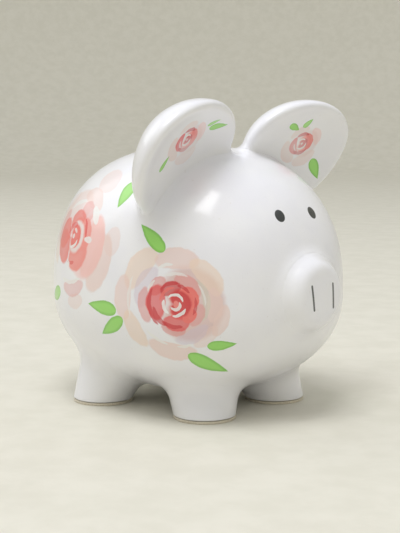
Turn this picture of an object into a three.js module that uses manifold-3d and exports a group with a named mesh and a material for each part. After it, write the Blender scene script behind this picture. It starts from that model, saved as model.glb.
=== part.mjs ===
// Ceramic piggy bank: a hollow glazed shell on four short legs, with an oval snout, two cupped ears,
// a curled tail, a coin slot along the spine, soft pads under the feet and a rubber stopper in the belly.
// Millimetres, +Z up. The pig looks along +X and its right side is -Y. The origin is on the surface that
// it stands on, below the middle of its outer box.
import * as THREE from 'three';
import { mergeVertices } from 'three/addons/utils/BufferGeometryUtils.js';
import Module from 'manifold-3d';

// ---- Driving dimensions ----------------------------------------------------------------------------

const TOUCH_GAP = 0.3; // left between two pieces that meet

// Body: six half-axes measured from its centre, which lies on the widest section.
const BODY_FRONT = 83.4;
const BODY_BACK = 90;
const BODY_HALF_WIDTH = 72.3;
const BODY_RISE = 82.3;
const BODY_DROP = 56.7;
const BELLY_CLEARANCE = 7.9; // from the standing surface to the lowest point of the belly
const BODY_WALL = 4.5;
const PLAN_FULLNESS = 2.3; // 2 is an ellipse, more is squarer
const TOP_FULLNESS = 2.39;
const BELLY_FULLNESS = 2.21;
const FRONT_FLARE = 0.00111; // the body is this much wider for each mm towards the front

// Snout: a short oval cone with a softly domed end
const SNOUT_HEIGHT = 69.6; // of its axis
const SNOUT_REACH = 7.9; // how far it stands out of the front of the body
const SNOUT_HALF_WIDTH = 20.6; // at the shoulder behind the end face
const SNOUT_HALF_HEIGHT = 18.2;
const SNOUT_SHOULDER = 4.2; // radius of the shoulder's rounding
const SNOUT_DOME = 0.9; // how far the end face bulges
const SNOUT_FLARE = 0.42; // growth in half-width for each mm back from the shoulder

// Ears: half an egg with a cupped flat side that looks forwards and down, rooted in the body
const EAR_HALF_WIDTH = 39;
const EAR_HALF_HEIGHT = 29; // from the egg's middle up to its rim
const EAR_DROP = 42; // from the egg's middle down to its end, inside the body
const EAR_DEPTH = 23.6;
const EAR_FORWARD = 40.8; // of the middle of the cupped side, from the body's centre
const EAR_SIDEWAYS = 45.5;
const EAR_STANDOFF = 18; // of that middle above the body's surface below it
const EAR_LEAN = 29; // degrees that the cupped side looks down
const EAR_TOE_IN = 9.6; // degrees that it looks towards the middle
const EAR_RIM = 4.5; // width left flat around the cup
const EAR_CUP_DEPTH = 3;

// Legs: leaning cones, wider where they join the body
const LEG_FOOT_RADIUS = 17.2;
const LEG_TAPER = 0.2; // growth in radius for each mm of height
const LEG_SPLAY = 0.4; // how far the foot stands outwards for each mm of height
const LEG_EDGE = 0.4; // rounding around the sole
const LEG_ROOT_DEPTH = 20.6; // where the cone ends, below the body's centre
const FRONT_FOOT = [34.4, 30.5]; // forwards and sideways of the body's centre
const REAR_FOOT = [-37.2, 38.5];

// Foot pads
const PAD_THICKNESS = 1.5;
const PAD_INSET = 0.1; // from the side of the foot

// Coin slot, along the spine behind the ears
const SLOT_LENGTH = 38;
const SLOT_WIDTH = 5;
const SLOT_FORWARD = -14; // of the slot's middle, from the body's centre

// Belly hole and stopper
const HOLE_RADIUS = 15;
const LAND_WIDTH = 4.6; // of the flat ring around the hole, for the stopper's flange
const LAND_DEPTH = 1.1; // cut up from the lowest point of the belly
const STOPPER_CLEARANCE = 0.35; // around the plug, and around the flange in its land
const FLANGE_THICKNESS = 1.6;
const PLUG_PROUD = 1.5; // how far the plug stands into the hollow
const PLUG_TAPER = 0.8; // loss of radius up to the plug's top
const DISH_RIM = 3.6; // from the plug's side to the finger dish in the underside
const DISH_DEPTH = 2.6;
const GRIP_WIDTH = 3.2; // bar across the dish

// Tail: a tapered roll of clay curled on the rump
const TAIL_RISE = 23; // of the curl's axis above the body's centre
const TAIL_ROOT_LOOP = 8.4; // radius of the curl where it leaves the rump
const TAIL_TIP_LOOP = 5;
const TAIL_ROOT_RADIUS = 3.3; // of the roll itself
const TAIL_TIP_RADIUS = 1.8;
const TAIL_SINK = 1.6; // of the roll's middle line below the rump's surface, at the root
const TAIL_PITCH = 7.4; // backwards travel in one turn
const TAIL_TURNS = 1.3;

// ---- Worked-out sizes ------------------------------------------------------------------------------

const BODY_CENTRE_HEIGHT = BELLY_CLEARANCE + BODY_DROP;
const SOLE_HEIGHT = PAD_THICKNESS + TOUCH_GAP;
const LAND_HEIGHT = BELLY_CLEARANCE + LAND_DEPTH;
const LAND_RADIUS = HOLE_RADIUS + LAND_WIDTH;
const PLUG_RADIUS = HOLE_RADIUS - STOPPER_CLEARANCE;
const HOLE_FORWARD = (FRONT_FOOT[0] + REAR_FOOT[0]) / 2;

const wasm = await Module();
wasm.setup();

// ---- Helpers ---------------------------------------------------------------------------------------

/** A closed three.js geometry as a solid that can be joined and cut. */
function solid(geometry) {
  const bare = geometry.clone();
  bare.deleteAttribute('normal');
  bare.deleteAttribute('uv');
  const merged = mergeVertices(bare, 1e-4);
  return new wasm.Manifold(new wasm.Mesh({
    numProp: 3,
    vertProperties: new Float32Array(merged.attributes.position.array),
    triVerts: new Uint32Array(merged.index.array),
  }));
}

/** A solid as a three.js geometry with flat faces. */
function geometryOf(shape) {
  const { vertProperties, triVerts } = shape.getMesh();
  const geometry = new THREE.BufferGeometry();
  geometry.setAttribute('position', new THREE.BufferAttribute(new Float32Array(vertProperties), 3));
  geometry.setIndex(new THREE.BufferAttribute(new Uint32Array(triVerts), 1));
  geometry.computeVertexNormals();
  return geometry;
}

function piece(name, shape, material) {
  const mesh = new THREE.Mesh(geometryOf(shape), material());
  mesh.name = name;
  return mesh;
}

/** A closed skin through rings of points, which run anticlockwise about the way from first to last. */
function loft(rings) {
  const segments = rings[0].length;
  const triangles = [];
  for (let ring = 0; ring < rings.length - 1; ring += 1) {
    for (let k = 0; k < segments; k += 1) {
      const here = ring * segments + k;
      const next = ring * segments + ((k + 1) % segments);
      triangles.push(here, next, next + segments, here, next + segments, here + segments);
    }
  }
  const lastRing = (rings.length - 1) * segments;
  for (let k = 1; k < segments - 1; k += 1) {
    triangles.push(0, k + 1, k, lastRing, lastRing + k, lastRing + k + 1);
  }
  const geometry = new THREE.BufferGeometry().setFromPoints(rings.flat());
  geometry.setIndex(triangles);
  return geometry;
}

/** Points of a circle about a centre, anticlockwise from one axis to the other. */
function circle(centre, radius, axisA, axisB, segments) {
  return Array.from({ length: segments }, (_, k) => {
    const angle = (2 * Math.PI * k) / segments;
    return centre.clone()
      .addScaledVector(axisA, radius * Math.cos(angle))
      .addScaledVector(axisB, radius * Math.sin(angle));
  });
}

/** A round disc or plug with its axis along Z, from one height to another. */
function upright(radius, low, high, segments, topRadius = radius) {
  const geometry = new THREE.CylinderGeometry(topRadius, radius, high - low, segments);
  geometry.rotateX(Math.PI / 2);
  return geometry.translate(HOLE_FORWARD, 0, (low + high) / 2);
}

// ---- Materials -------------------------------------------------------------------------------------

const glaze = () => new THREE.MeshStandardMaterial({ color: 0xf3f2ef, roughness: 0.12, metalness: 0 });
const feltPad = () => new THREE.MeshStandardMaterial({ color: 0xe4dccb, roughness: 0.9, metalness: 0 });
const rubber = () => new THREE.MeshStandardMaterial({ color: 0xdad7d0, roughness: 0.6, metalness: 0 });

// ---- Body shell ------------------------------------------------------------------------------------

/**
 * The body's outer shape, grown by an offset. Each point of a unit sphere is moved along its own
 * direction until its coordinates, over the half-axes on their side, meet the superellipse rule.
 */
function bodyShape(grow, around, upwards) {
  const geometry = new THREE.SphereGeometry(1, around, upwards).rotateX(Math.PI / 2);
  const position = geometry.attributes.position;
  const point = new THREE.Vector3();
  for (let k = 0; k < position.count; k += 1) {
    point.fromBufferAttribute(position, k).normalize();
    const length = (point.x > 0 ? BODY_FRONT : BODY_BACK) + grow;
    const height = (point.z > 0 ? BODY_RISE : BODY_DROP) + grow;
    const fullness = point.z > 0 ? TOP_FULLNESS : BELLY_FULLNESS;
    const plan = Math.abs(point.x / length) ** PLAN_FULLNESS
      + Math.abs(point.y / (BODY_HALF_WIDTH + grow)) ** PLAN_FULLNESS;
    const rule = plan ** (fullness / PLAN_FULLNESS) + Math.abs(point.z / height) ** fullness;
    point.multiplyScalar(rule ** (-1 / fullness));
    point.y *= 1 + FRONT_FLARE * point.x;
    position.setXYZ(k, point.x, point.y, point.z + BODY_CENTRE_HEIGHT);
  }
  return solid(geometry);
}

/** An upright bar with round ends, long enough to pass through the top wall. */
function coinSlotCut() {
  const endRadius = SLOT_WIDTH / 2;
  const endCentre = SLOT_LENGTH / 2 - endRadius;
  const outline = new THREE.Shape();
  outline.absarc(endCentre, 0, endRadius, -Math.PI / 2, Math.PI / 2, false);
  outline.absarc(-endCentre, 0, endRadius, Math.PI / 2, 1.5 * Math.PI, false);
  outline.closePath();
  const cut = new THREE.ExtrudeGeometry(outline, { depth: BODY_RISE, bevelEnabled: false, curveSegments: 8 });
  return solid(cut.translate(SLOT_FORWARD, 0, BODY_CENTRE_HEIGHT + BODY_WALL));
}

/** Height of the body's upper surface above a point given forwards and sideways of its centre. */
function bodyTopAt(forward, sideways) {
  const length = forward > 0 ? BODY_FRONT : BODY_BACK;
  const width = BODY_HALF_WIDTH * (1 + FRONT_FLARE * forward);
  const plan = Math.abs(forward / length) ** PLAN_FULLNESS + Math.abs(sideways / width) ** PLAN_FULLNESS;
  const left = 1 - plan ** (TOP_FULLNESS / PLAN_FULLNESS);
  return BODY_CENTRE_HEIGHT + BODY_RISE * left ** (1 / TOP_FULLNESS);
}

/** How far behind the body's centre the rump's surface is, at a height above that centre. */
function rumpAt(rise) {
  return BODY_BACK * (1 - (rise / BODY_RISE) ** TOP_FULLNESS) ** (1 / TOP_FULLNESS);
}

const bodyOutside = bodyShape(0, 44, 28);
const bodyClearance = bodyShape(TOUCH_GAP, 44, 28); // what the applied pieces are cut back to

function bodyShell() {
  const hollow = bodyShape(-BODY_WALL, 32, 20);
  const hole = solid(upright(HOLE_RADIUS, 0, BODY_CENTRE_HEIGHT / 2, 40));
  const land = solid(upright(LAND_RADIUS, 0, LAND_HEIGHT, 40));
  return bodyOutside.subtract(hollow).subtract(coinSlotCut()).subtract(hole).subtract(land);
}

// ---- Applied pieces of the shell -------------------------------------------------------------------

/** A turned profile around the snout's axis, which points forwards, squeezed in height. */
function snout() {
  const endFace = BODY_FRONT + SNOUT_REACH - SNOUT_DOME;
  const shoulderBack = endFace - SNOUT_SHOULDER;
  const flatRadius = SNOUT_HALF_WIDTH - SNOUT_SHOULDER;
  const profile = new THREE.Path();
  const rootDepth = BODY_FRONT / 2;
  profile.moveTo(0, shoulderBack - rootDepth);
  profile.lineTo(SNOUT_HALF_WIDTH + SNOUT_FLARE * rootDepth, shoulderBack - rootDepth);
  profile.lineTo(SNOUT_HALF_WIDTH, shoulderBack);
  profile.absarc(flatRadius, shoulderBack, SNOUT_SHOULDER, 0, Math.PI / 2, false);
  profile.quadraticCurveTo(flatRadius / 2, endFace + SNOUT_DOME, 0, endFace + SNOUT_DOME);
  const turned = new THREE.LatheGeometry(profile.getPoints(4), 32);
  turned.rotateZ(-Math.PI / 2).scale(1, 1, SNOUT_HALF_HEIGHT / SNOUT_HALF_WIDTH);
  turned.translate(0, 0, SNOUT_HEIGHT);
  return solid(turned).subtract(bodyClearance);
}

/** An ellipsoid about the origin whose half below Y = 0 has a half-axis of its own. */
function egg(halfWidth, halfHeight, drop, depth, around, upwards) {
  const geometry = new THREE.SphereGeometry(1, around, upwards);
  const position = geometry.attributes.position;
  for (let k = 0; k < position.count; k += 1) {
    const y = position.getY(k);
    position.setXYZ(k, position.getX(k) * halfWidth, y * (y > 0 ? halfHeight : drop), position.getZ(k) * depth);
  }
  return geometry;
}

/** An egg cut in half, with a shallow cup in the cut side. side is -1 on the right, 1 on the left. */
function ear(side) {
  const lean = THREE.MathUtils.degToRad(EAR_LEAN);
  const toeIn = THREE.MathUtils.degToRad(EAR_TOE_IN);
  const facing = new THREE.Vector3(
    Math.cos(lean) * Math.cos(toeIn),
    -side * Math.cos(lean) * Math.sin(toeIn),
    -Math.sin(lean),
  );
  const level = new THREE.Vector3(0, 0, 1).cross(facing).normalize();
  const steep = facing.clone().cross(level);
  const placed = new THREE.Matrix4().makeBasis(level, steep, facing);
  const middleHeight = bodyTopAt(EAR_FORWARD, EAR_SIDEWAYS) + EAR_STANDOFF;
  placed.setPosition(EAR_FORWARD, side * EAR_SIDEWAYS, middleHeight);

  const dome = egg(EAR_HALF_WIDTH, EAR_HALF_HEIGHT, EAR_DROP, EAR_DEPTH, 28, 18).applyMatrix4(placed);
  const cup = egg(
    EAR_HALF_WIDTH - EAR_RIM, EAR_HALF_HEIGHT - EAR_RIM, EAR_DROP - EAR_RIM, EAR_CUP_DEPTH, 24, 12,
  ).applyMatrix4(placed);
  const boxSize = 2 * (EAR_HALF_WIDTH + EAR_DROP);
  const ahead = new THREE.BoxGeometry(boxSize, boxSize, boxSize);
  ahead.translate(0, 0, boxSize / 2).applyMatrix4(placed);
  return solid(dome).subtract(solid(ahead)).subtract(solid(cup)).subtract(bodyClearance);
}

/** A leaning cone from its rounded sole up into the body. side is -1 on the right, 1 on the left. */
function leg([forward, sideways], side) {
  const forwards = new THREE.Vector3(1, 0, 0);
  const leftwards = new THREE.Vector3(0, 1, 0);
  const foot = new THREE.Vector3(forward, side * sideways, SOLE_HEIGHT);
  const lean = new THREE.Vector3(forward - HOLE_FORWARD, side * sideways, 0).setLength(-LEG_SPLAY);
  lean.z = 1;
  const ringAt = (rise, radius) => circle(
    foot.clone().addScaledVector(lean, rise), radius, forwards, leftwards, 28,
  );
  const rings = [0, 30, 60, 90].map((turn) => {
    const angle = THREE.MathUtils.degToRad(turn);
    return ringAt(LEG_EDGE * (1 - Math.cos(angle)), LEG_FOOT_RADIUS - LEG_EDGE * (1 - Math.sin(angle)));
  });
  const rootRise = BODY_CENTRE_HEIGHT - LEG_ROOT_DEPTH - SOLE_HEIGHT;
  rings.push(ringAt(rootRise, LEG_FOOT_RADIUS + LEG_TAPER * rootRise));
  return solid(loft(rings)).subtract(bodyClearance);
}

/** The middle line of the curl: backwards out of the rump, round a loop that closes in on its axis. */
class TailLine extends THREE.Curve {
  getPoint(share) {
    const turn = 2 * Math.PI * TAIL_TURNS * share;
    const loop = THREE.MathUtils.lerp(TAIL_ROOT_LOOP, TAIL_TIP_LOOP, share);
    const rootRise = TAIL_RISE - TAIL_ROOT_LOOP;
    return new THREE.Vector3(
      TAIL_SINK - rumpAt(rootRise) - TAIL_PITCH * TAIL_TURNS * share,
      loop * Math.sin(turn),
      BODY_CENTRE_HEIGHT + TAIL_RISE - loop * Math.cos(turn),
    );
  }
}

/** A round section swept along the curl, narrowing to a rounded tip. */
function tail() {
  const line = new TailLine();
  const steps = 26;
  const { tangents, normals, binormals } = line.computeFrenetFrames(steps);
  const rings = tangents.map((_, k) => circle(
    line.getPointAt(k / steps),
    THREE.MathUtils.lerp(TAIL_ROOT_RADIUS, TAIL_TIP_RADIUS, k / steps),
    normals[k],
    binormals[k],
    12,
  ));
  for (const turn of [30, 60, 80]) {
    const angle = THREE.MathUtils.degToRad(turn);
    const centre = line.getPointAt(1).addScaledVector(tangents[steps], TAIL_TIP_RADIUS * Math.sin(angle));
    rings.push(circle(centre, TAIL_TIP_RADIUS * Math.cos(angle), normals[steps], binormals[steps], 12));
  }
  return solid(loft(rings)).subtract(bodyClearance);
}

// ---- Loose pieces ----------------------------------------------------------------------------------

/** A thin round pad under one foot. */
function footPad([forward, sideways], side) {
  const radius = LEG_FOOT_RADIUS - PAD_INSET;
  const disc = new THREE.CylinderGeometry(radius, radius, PAD_THICKNESS, 32);
  disc.rotateX(Math.PI / 2).translate(forward, side * sideways, PAD_THICKNESS / 2);
  return solid(disc);
}

/** A flange with a tapered plug above it, and a finger dish with a grip bar below. */
function stopper() {
  const flangeTop = LAND_HEIGHT - TOUCH_GAP;
  const flangeLow = flangeTop - FLANGE_THICKNESS;
  const plugTop = LAND_HEIGHT - LAND_DEPTH + BODY_WALL + PLUG_PROUD;
  const flange = solid(upright(LAND_RADIUS - STOPPER_CLEARANCE, flangeLow, flangeTop, 40));
  const plugLow = flangeLow + FLANGE_THICKNESS / 2;
  const plug = solid(upright(PLUG_RADIUS, plugLow, plugTop, 40, PLUG_RADIUS - PLUG_TAPER));
  const dishRadius = PLUG_RADIUS - DISH_RIM;
  const dish = solid(upright(dishRadius, flangeLow - 1, flangeLow + DISH_DEPTH, 32));
  const barTop = flangeLow + DISH_DEPTH + 0.5;
  const bar = new THREE.BoxGeometry(GRIP_WIDTH, 2 * dishRadius + 1, barTop - flangeLow);
  bar.translate(HOLE_FORWARD, 0, (flangeLow + barTop) / 2);
  return flange.add(plug).subtract(dish).add(solid(bar));
}

// ---- Assembly --------------------------------------------------------------------------------------

const pig = new THREE.Group();
pig.add(piece('body_shell', bodyShell(), glaze));
pig.add(piece('snout', snout(), glaze));
pig.add(piece('tail', tail(), glaze));
for (const [sideName, side] of [['right', -1], ['left', 1]]) {
  pig.add(piece(`ear_${sideName}`, ear(side), glaze));
  for (const [endName, foot] of [['front', FRONT_FOOT], ['rear', REAR_FOOT]]) {
    pig.add(piece(`leg_${endName}_${sideName}`, leg(foot, side), glaze));
    pig.add(piece(`foot_pad_${endName}_${sideName}`, footPad(foot, side), feltPad));
  }
}
pig.add(piece('stopper', stopper(), rubber));

// The pig is moved along X so that the middle of its outer box stands over the origin.
const outerBox = new THREE.Box3().setFromObject(pig);
pig.position.x = -(outerBox.min.x + outerBox.max.x) / 2;

export default pig;
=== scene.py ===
# %% [markdown]
# # A glazed ceramic piggy bank
#
# The pig is slip-cast: liquid clay is poured into a plaster mould and drained, which leaves an even
# wall around a hollow. Ears, snout, legs and tail are stuck on while the clay is soft, and a wet
# sponge runs every joint into a fillet. Then it is glazed white, fired, and painted with roses. So
# each piece here is worked out as a smooth surface that flows into the body, and the paint is
# worked out in the glaze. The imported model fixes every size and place, so it is loaded first.

import math

import bpy
import numpy as np
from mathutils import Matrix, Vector


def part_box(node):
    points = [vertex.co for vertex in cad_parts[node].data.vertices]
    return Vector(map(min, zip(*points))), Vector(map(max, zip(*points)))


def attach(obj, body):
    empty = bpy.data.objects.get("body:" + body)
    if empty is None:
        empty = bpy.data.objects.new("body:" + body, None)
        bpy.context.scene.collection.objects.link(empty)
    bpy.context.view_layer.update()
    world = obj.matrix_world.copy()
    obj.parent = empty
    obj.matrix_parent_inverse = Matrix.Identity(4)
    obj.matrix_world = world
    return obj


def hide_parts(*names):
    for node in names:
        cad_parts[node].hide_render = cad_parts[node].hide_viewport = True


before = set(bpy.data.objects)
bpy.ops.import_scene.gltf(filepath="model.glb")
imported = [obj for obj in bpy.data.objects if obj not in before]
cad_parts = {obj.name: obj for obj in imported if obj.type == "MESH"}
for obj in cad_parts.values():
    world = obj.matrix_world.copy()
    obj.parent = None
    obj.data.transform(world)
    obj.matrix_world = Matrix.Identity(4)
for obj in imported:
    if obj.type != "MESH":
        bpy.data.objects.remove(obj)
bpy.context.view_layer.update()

# %% [markdown]
# ## Where the camera stands
#
# A camera is placed by how a person would hold it: a turn round the pig, a distance, a height, and
# how far the lens looks down. The lens is long, so the pig shows almost no perspective.

# %% Camera
MM = 0.001
body_low, body_high = (np.array(corner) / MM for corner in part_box("body_shell"))
BODY_FRONT, BODY_BACK = 83.4, 90.0  # half-lengths ahead of the body's centre and behind it
CENTRE_X = body_low[0] + BODY_BACK * (body_high[0] - body_low[0]) / (BODY_FRONT + BODY_BACK)

CAMERA_AZIMUTH, CAMERA_AIM, CAMERA_TILT = (math.radians(turn) for turn in (42.09, 41.86, 7.15))
CAMERA_DISTANCE, CAMERA_HEIGHT = 693.35, 164.29
camera_data = bpy.data.cameras.new("camera")
camera_data.lens = 81.76
camera = bpy.data.objects.new("camera", camera_data)
camera.location = (
    (CENTRE_X + CAMERA_DISTANCE * math.sin(CAMERA_AZIMUTH)) * MM,
    -CAMERA_DISTANCE * math.cos(CAMERA_AZIMUTH) * MM,
    CAMERA_HEIGHT * MM,
)
look = Vector((
    -math.sin(CAMERA_AIM) * math.cos(CAMERA_TILT),
    math.cos(CAMERA_AIM) * math.cos(CAMERA_TILT),
    -math.sin(CAMERA_TILT),
))
camera.rotation_euler = look.to_track_quat("-Z", "Y").to_euler()
bpy.context.scene.collection.objects.link(camera)
bpy.context.scene.camera = camera
print("camera at", [round(v, 3) for v in camera.location])

# %% [markdown]
# ## A surface from rings
#
# Every piece here is a stack of rings with the same number of points. Neighbouring rings are joined
# by four-sided faces, and a single point closes each end, or the last ring joins the first. The
# whole stack is one numpy array, so no point is handled by itself. The sign of the volume tells
# whether the faces point outwards, and they are turned round when they don't.

# %% Rings to a closed mesh
def signed_volume(points, faces):
    """A sixth of the sum of a . (b x c) over triangles a, b, c: positive when faces look outwards."""
    a, b, c = (points[faces[:, k]] for k in range(3))
    return np.einsum("ij,ij->", a, np.cross(b, c)) / 6


def surface(name, rings, start=None, end=None, joined=False):
    """A closed mesh through rings, an array (ring, point, xyz) in millimetres. start and end are the
    points that close its ends; joined ties the last ring to the first instead."""
    count, around = rings.shape[:2]
    index = np.arange(count * around).reshape(count, around)
    below = index if joined else index[:-1]
    above = np.roll(index, -1, 0) if joined else index[1:]
    quads = np.stack([below, np.roll(below, -1, 1), np.roll(above, -1, 1), above], -1).reshape(-1, 4)
    points = rings.reshape(-1, 3)
    fans = np.empty((0, 3), int)
    for pole, ring, order in ((start, index[0], 1), (end, index[-1], -1)):
        if pole is not None:
            hub = np.full(around, len(points))
            fan = np.stack([np.roll(ring, -1), ring, hub], -1)[:, ::order]
            fans = np.vstack([fans, fan])
            points = np.vstack([points, pole])
    triangles = np.vstack([quads[:, [0, 1, 2]], quads[:, [0, 2, 3]], fans])
    if signed_volume(points, triangles) < 0:
        quads, fans, triangles = quads[:, ::-1], fans[:, ::-1], triangles[:, ::-1]
    mesh = bpy.data.meshes.new(name)
    mesh.vertices.add(len(points))
    mesh.vertices.foreach_set("co", (points * MM).ravel())
    corners = np.concatenate([quads.ravel(), fans.ravel()])
    sizes = np.concatenate([np.full(len(quads), 4), np.full(len(fans), 3)])
    mesh.loops.add(len(corners))
    mesh.loops.foreach_set("vertex_index", corners)
    mesh.polygons.add(len(sizes))
    mesh.polygons.foreach_set("loop_start", np.cumsum(sizes) - sizes)
    mesh.polygons.foreach_set("use_smooth", np.ones(len(sizes), bool))
    mesh.update(calc_edges=True)
    piece = bpy.data.objects.new(name, mesh)
    bpy.context.scene.collection.objects.link(piece)
    volume = signed_volume(points, triangles) / 1000
    print(f"{name}: {len(triangles)} triangles, {volume:.1f} cm3")
    return piece


def place(piece, body, slot, *nodes):
    """The piece rides on a body and stands for CAD nodes. The slot argument is not used."""
    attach(piece, body)
    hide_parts(*nodes)

# %% [markdown]
# ## Shapes as distances
#
# Soft joints are easy when each shape is a *field*: a function that says how far a point lies
# outside it. Zero is its surface. The smaller of two fields is both shapes together, and easing one
# field into the other where they are nearly equal gives the sponged fillet of the real clay.
#
# The body is a superellipsoid: like an ellipsoid, with powers above 2 that make it fuller. Its front
# and back, and its top and belly, have their own half-axes, and it widens a little to the front.

# %% Body field
BODY_HALF_WIDTH, BODY_RISE, BODY_DROP = 72.3, 82.3, 56.7
PLAN_FULLNESS, TOP_FULLNESS, BELLY_FULLNESS = 2.3, 2.39, 2.21
FRONT_FLARE = 0.00111  # share of extra width for each mm towards the front
BELLY_CLEARANCE = 7.9
BODY_WALL = 4.5
CENTRE = np.array([CENTRE_X, 0, BELLY_CLEARANCE + BODY_DROP])


def body_gauge(from_centre, grow=0):
    """The superellipse rule: 1 on the surface, below 1 inside. The powers of x and y over their
    half-axes are added, the sum is raised to meet the power of z, and the root is taken."""
    x, y, z = np.moveaxis(np.abs(from_centre), -1, 0)
    length = np.where(from_centre[..., 0] > 0, BODY_FRONT, BODY_BACK) + grow
    top = from_centre[..., 2] > 0
    height = np.where(top, BODY_RISE, BODY_DROP) + grow
    fullness = np.where(top, TOP_FULLNESS, BELLY_FULLNESS)
    plan = (x / length) ** PLAN_FULLNESS + (y / (BODY_HALF_WIDTH + grow)) ** PLAN_FULLNESS
    return (plan ** (fullness / PLAN_FULLNESS) + (z / height) ** fullness) ** (1 / fullness)


def unit(vectors):
    return vectors / np.linalg.norm(vectors, axis=-1, keepdims=True)


def unflared(points):
    """Places from the body's centre, with the widening to the front taken out."""
    away = points - CENTRE
    away[..., 1] /= 1 + FRONT_FLARE * away[..., 0]
    return away


def body_field(points):
    """Distance from the body's outside, measured along the line from its centre."""
    away = np.linalg.norm(points - CENTRE, axis=-1)
    return away * (1 - 1 / np.maximum(body_gauge(unflared(points)), 1e-6))


def body_point(directions, grow=0):
    """Where the line from the centre along each direction meets the body, grown by an offset."""
    reached = directions / body_gauge(directions, grow)[..., None]
    reached[..., 1] *= 1 + FRONT_FLARE * reached[..., 0]
    return reached + CENTRE


def smooth_min(a, b, reach):
    """The smaller of a and b, less a quarter of the reach where they are equal."""
    near = np.clip(1 - np.abs(a - b) / reach, 0, 1)
    return np.minimum(a, b) - near ** 2 * reach / 4


def smooth_max(a, b, reach):
    return -smooth_min(-a, -b, reach)


def smoothstep(low, high, value):
    """0 below low, 1 above high, and an S-shaped ramp between."""
    t = np.clip((value - low) / (high - low), 0, 1)
    return t * t * (3 - 2 * t)

# %% [markdown]
# ## The pieces that stand on the body
#
# The snout is a short cone with a soft shoulder and a slightly domed end. Each ear is half an egg,
# flat side forwards, with a shallow cup pressed into it by a thumb. Each leg is a leaning cone. The
# tail is a tapered roll of clay, so its field is the distance to the line of its middle.

# %% Snout field
SNOUT_HEIGHT, SNOUT_REACH = 69.6, 7.9
SNOUT_HALF_WIDTH, SNOUT_HALF_HEIGHT = 21.2, 18.8
SNOUT_SHOULDER, SNOUT_DOME, SNOUT_FLARE = 4.2, 0.9, 0.36
SNOUT_END = CENTRE_X + BODY_FRONT + SNOUT_REACH
SNOUT_ROOT = CENTRE_X + BODY_FRONT / 2
SNOUT_ROUNDING = 5.2  # reach of the shoulder's easing


def snout_field(points):
    """A cone about a line along X, cut off by a face that bulges by the square of the radius."""
    upward = (points[..., 2] - SNOUT_HEIGHT) * SNOUT_HALF_WIDTH / SNOUT_HALF_HEIGHT
    from_axis = np.hypot(points[..., 1], upward)
    back = SNOUT_END - SNOUT_DOME - SNOUT_SHOULDER - points[..., 0]
    side = (from_axis - SNOUT_HALF_WIDTH - SNOUT_FLARE * back) / math.hypot(1, SNOUT_FLARE)
    face = points[..., 0] - SNOUT_END + SNOUT_DOME * (from_axis / SNOUT_HALF_WIDTH) ** 2
    return np.maximum(smooth_max(side, face, SNOUT_ROUNDING), SNOUT_ROOT - points[..., 0])

# %% Ear field
EAR_HALF_WIDTH, EAR_HALF_HEIGHT, EAR_DROP, EAR_DEPTH = 39.4, 29.4, 42.0, 23.7
EAR_FORWARD, EAR_SIDEWAYS, EAR_MIDDLE_HEIGHT = 40.8, 45.5, 144.6
EAR_LEAN, EAR_TOE_IN = math.radians(29), math.radians(9.6)
EAR_RIM, EAR_CUP_DEPTH = 5.0, 5.2
EAR_ROUNDING = 5.0  # reach of the rim's easing
CUP_SOFTNESS = 0.05  # eases the cup's edge


def ear_frame(side):
    """Middle of an ear's flat side, and its level, steep and facing directions."""
    facing = np.array([
        math.cos(EAR_LEAN) * math.cos(EAR_TOE_IN),
        -side * math.cos(EAR_LEAN) * math.sin(EAR_TOE_IN),
        -math.sin(EAR_LEAN),
    ])
    level = unit(np.cross([0, 0, 1], facing))
    middle = np.array([CENTRE_X + EAR_FORWARD, side * EAR_SIDEWAYS, EAR_MIDDLE_HEIGHT])
    return middle, np.array([level, np.cross(facing, level), facing])


def ear_field(side):
    middle, axes = ear_frame(side)

    def field(points):
        """An egg cut by a face, which sinks as the root of 1 - (radius / cup radius) squared. The
        egg is an ellipsoid with a longer half-axis below its middle."""
        local = (points - middle) @ axes.T
        across, upward, ahead = np.moveaxis(local, -1, 0)
        height = np.where(upward > 0, EAR_HALF_HEIGHT, EAR_DROP)
        flat_gauge = (across / EAR_HALF_WIDTH) ** 2 + (upward / height) ** 2
        gauge = np.sqrt(flat_gauge + (ahead / EAR_DEPTH) ** 2)
        dome = np.linalg.norm(local, axis=-1) * (1 - 1 / np.maximum(gauge, 1e-6))
        cup_width, cup_height = EAR_HALF_WIDTH - EAR_RIM, height - EAR_RIM
        inside = 1 - (across / cup_width) ** 2 - (upward / cup_height) ** 2
        eased = (inside + np.sqrt(inside ** 2 + CUP_SOFTNESS)) / 2
        face = ahead + EAR_CUP_DEPTH * (np.sqrt(eased) - math.sqrt(CUP_SOFTNESS) / 4)
        return smooth_max(dome, face, EAR_ROUNDING)

    return field

# %% Leg field
FEET = {"front": (34.4, 30.5), "rear": (-37.2, 38.5)}  # forwards and sideways of the body's centre
LEG_FOOT_RADIUS, LEG_TAPER, LEG_SPLAY = 17.2, 0.2, 0.4
SOLE_HEIGHT = 1.8
LEG_EDGE = 1.3  # reach of the easing around the sole
LEG_ROOT_RISE = 42.2  # where the cone ends, inside the body
HOLE_X = CENTRE_X + (FEET["front"][0] + FEET["rear"][0]) / 2


def leg_line(end, side):
    """Middle of the sole, and how far the middle line runs in X and Y for each mm of height."""
    forward, sideways = FEET[end]
    foot = np.array([CENTRE_X + forward, side * sideways])
    return foot, -LEG_SPLAY * unit(foot - [HOLE_X, 0])


def leg_field(end, side):
    foot, run = leg_line(end, side)

    def field(points):
        """Distance from the leaning middle line less the radius, which grows with height."""
        rise = points[..., 2] - SOLE_HEIGHT
        from_line = np.linalg.norm(points[..., :2] - foot - rise[..., None] * run, axis=-1)
        cone = smooth_max(from_line - LEG_FOOT_RADIUS - LEG_TAPER * rise, -rise, LEG_EDGE)
        return np.maximum(cone, rise - LEG_ROOT_RISE)

    return field

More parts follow.
